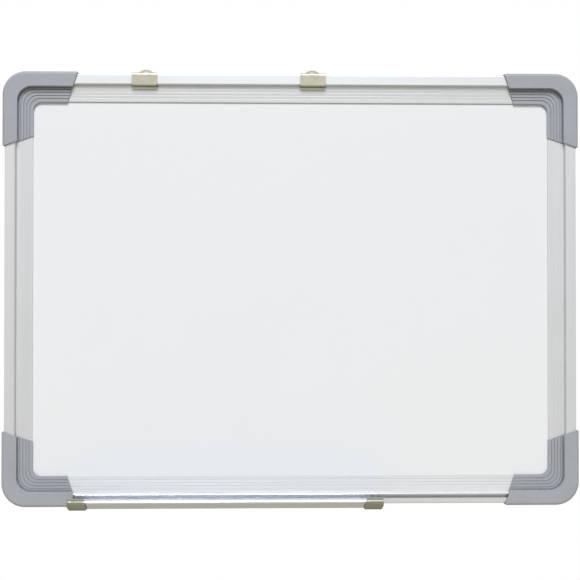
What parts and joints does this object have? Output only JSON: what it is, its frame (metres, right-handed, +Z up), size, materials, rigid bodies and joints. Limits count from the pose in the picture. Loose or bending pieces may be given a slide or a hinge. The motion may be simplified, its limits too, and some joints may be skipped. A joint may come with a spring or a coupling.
{
  "type": "magnetic whiteboard",
  "caption": "Framed magnetic dry-wipe board with corner caps, sliding wall hangers clipped over its top rail and a pen tray that slides in a groove of its bottom rail.",
  "frame": {"origin": "middle of the board on the wall plane, which is the plane of the corner caps' backs", "axes": "+X to the right seen from the front, +Z up, the writing face looks along -Y"},
  "size_m": [0.4032, 0.0425, 0.3072],
  "materials": {
    "lacquered_sheet": "smooth white lacquer, slight gloss",
    "fibre_core": "raw pressed fibre",
    "galvanised_sheet": "galvanised, dull",
    "anodised_rail": "satin anodised extrusion",
    "corner_plastic": "silver grey, moulded satin",
    "zinc_screw": "zinc plated",
    "plated_steel": "nickel plated spring steel, polished",
    "tray_aluminium": "bright anodised extrusion",
    "tray_cap_plastic": "grey, moulded satin"
  },
  "bodies": {
    "board": {"writing_sheet": "lacquered_sheet", "core_board": "fibre_core", "back_sheet": "galvanised_sheet", "top_rail": "anodised_rail", "bottom_rail": "anodised_rail", "left_rail": "anodised_rail", "right_rail": "anodised_rail", "corner_cap_top_left": "corner_plastic", "corner_cap_top_right": "corner_plastic", "corner_cap_bottom_left": "corner_plastic", "corner_cap_bottom_right": "corner_plastic", "corner_screws_top_left": "zinc_screw", "corner_screws_top_right": "zinc_screw", "corner_screws_bottom_left": "zinc_screw", "corner_screws_bottom_right": "zinc_screw"},
    "left_hanger": {"left_hanger": "plated_steel"},
    "right_hanger": {"right_hanger": "plated_steel"},
    "tray": {"pen_tray": "tray_aluminium", "tray_left_end_cap": "tray_cap_plastic", "tray_right_end_cap": "tray_cap_plastic"}
  },
  "joints": [
    {"name": "left_hanger_slide", "type": "slide", "parent": "board", "child": "left_hanger", "axis": [1, 0, 0], "range_m": [-0.037, 0.05]},
    {"name": "right_hanger_slide", "type": "slide", "parent": "board", "child": "right_hanger", "axis": [1, 0, 0], "range_m": [-0.05, 0.125]},
    {"name": "pen_tray_slide", "type": "slide", "parent": "board", "child": "tray", "axis": [1, 0, 0], "range_m": [-0.0005, 0.091]}
  ]
}
